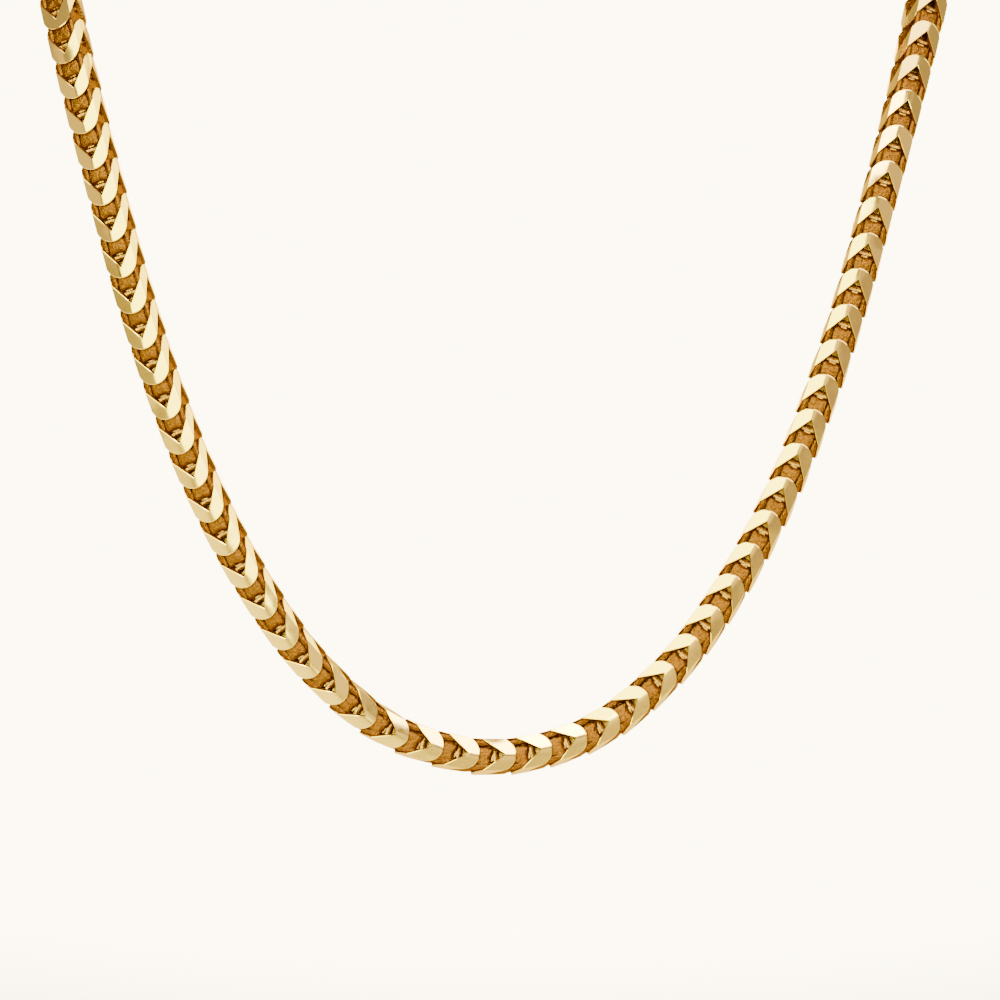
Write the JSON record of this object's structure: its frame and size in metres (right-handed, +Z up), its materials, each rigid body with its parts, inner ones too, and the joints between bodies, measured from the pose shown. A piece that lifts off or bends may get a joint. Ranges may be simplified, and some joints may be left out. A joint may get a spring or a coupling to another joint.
{
  "type": "franco chain necklace",
  "caption": "Square link-in-link franco chain necklace in polished gold, a long U in front and a plain barrel clasp at the nape.",
  "frame": {"origin": "middle of the clasp, where the necklace hangs on the nape", "axes": "+Z up, -Y to the front, +X to the wearer's left; the chain hangs in front of and below the origin"},
  "size_m": [0.1301, 0.0869, 0.1507],
  "materials": {
    "link_gold": "polished",
    "clasp_gold": "polished"
  },
  "bodies": {
    "root": {"chain_left": "link_gold", "chain_right": "link_gold", "clasp": "clasp_gold"}
  },
  "joints": []
}
